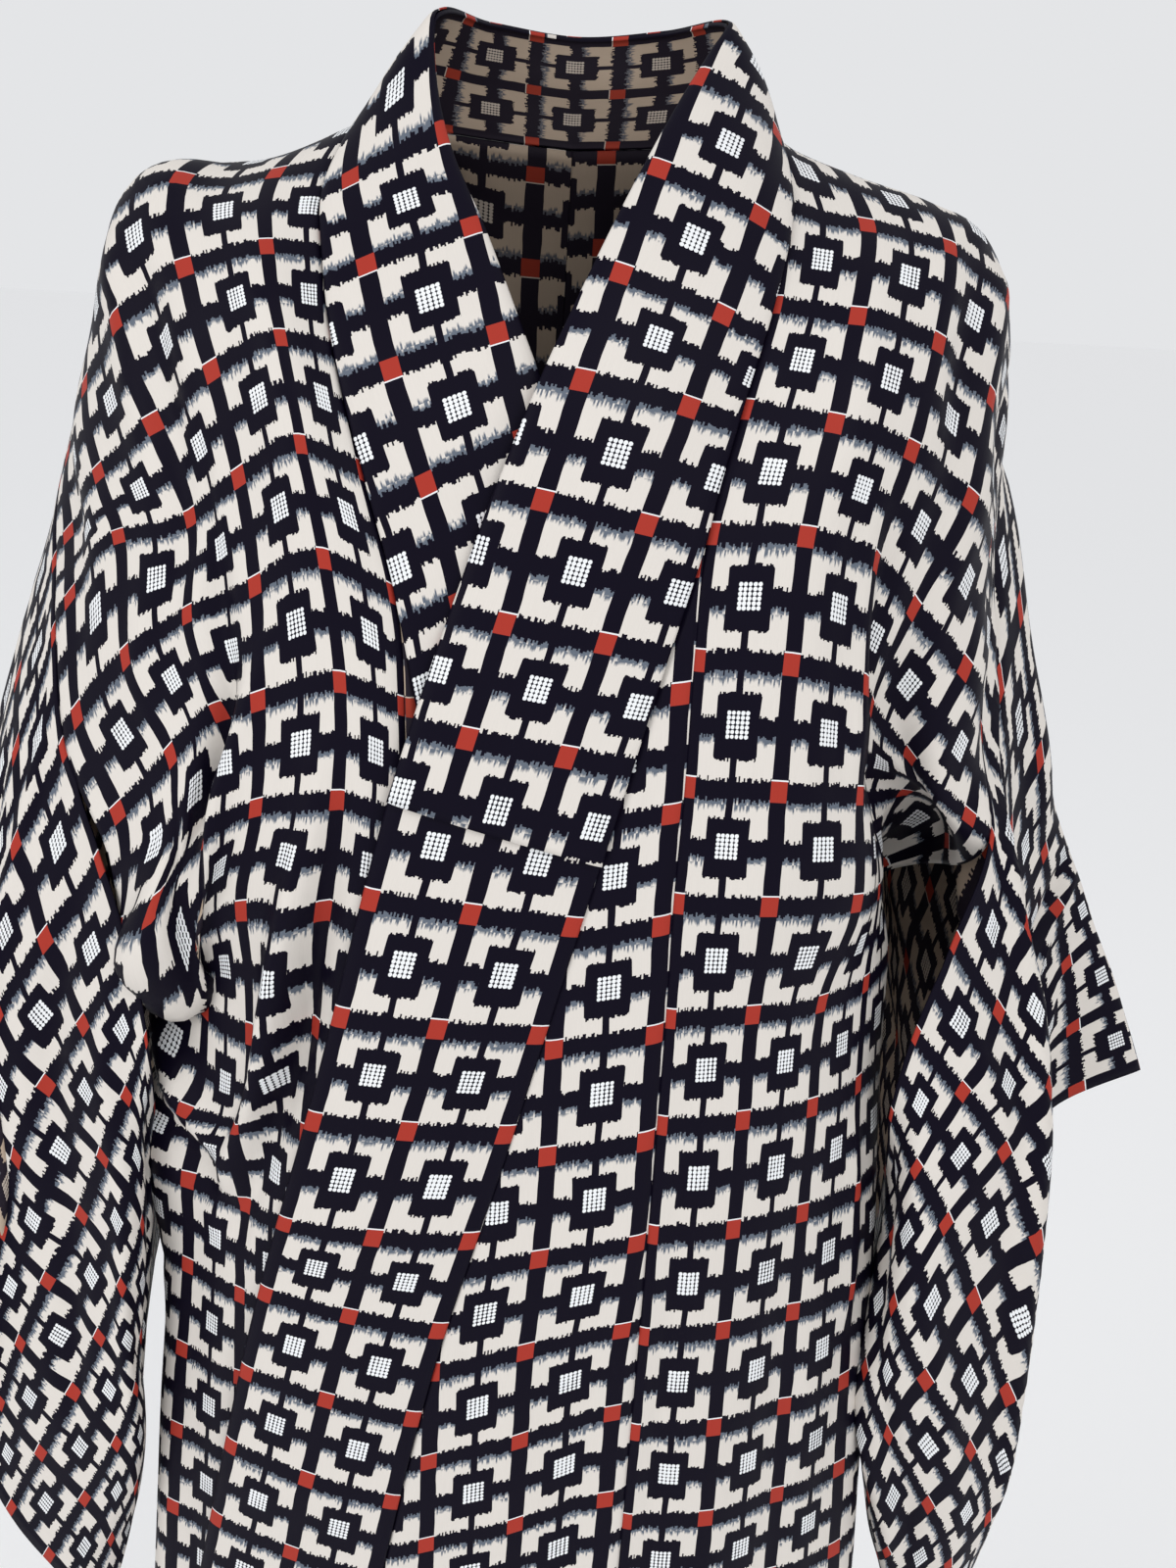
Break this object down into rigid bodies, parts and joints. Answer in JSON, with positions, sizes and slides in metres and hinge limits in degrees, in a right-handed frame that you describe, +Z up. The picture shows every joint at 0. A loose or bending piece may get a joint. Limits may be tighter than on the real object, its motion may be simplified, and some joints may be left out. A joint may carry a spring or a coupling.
{
  "type": "kimono",
  "caption": "Full-length kimono worn open-necked and unbelted, left front over right, with deep sleeves hanging at the sides.",
  "frame": {"origin": "on the garment's axis, level with the neck edge of the shoulders, where the wearer's shoulders hold it", "axes": "+Z up, -Y the wearer's front, +X the wearer's left"},
  "size_m": [0.6912, 0.2995, 1.4738],
  "materials": {
    "body_cloth": "smooth woven silk, navy, cream and slate lattice with small vermilion squares",
    "okumi_cloth": "the same woven silk",
    "collar_cloth": "the same woven silk, doubled",
    "over_collar_cloth": "the same woven silk",
    "sleeve_cloth": "the same woven silk"
  },
  "bodies": {
    "root": {"body_left": "body_cloth", "body_right": "body_cloth", "okumi_left": "okumi_cloth", "okumi_right": "okumi_cloth", "collar": "collar_cloth", "over_collar": "over_collar_cloth", "sleeve_left": "sleeve_cloth", "sleeve_right": "sleeve_cloth"}
  },
  "joints": []
}
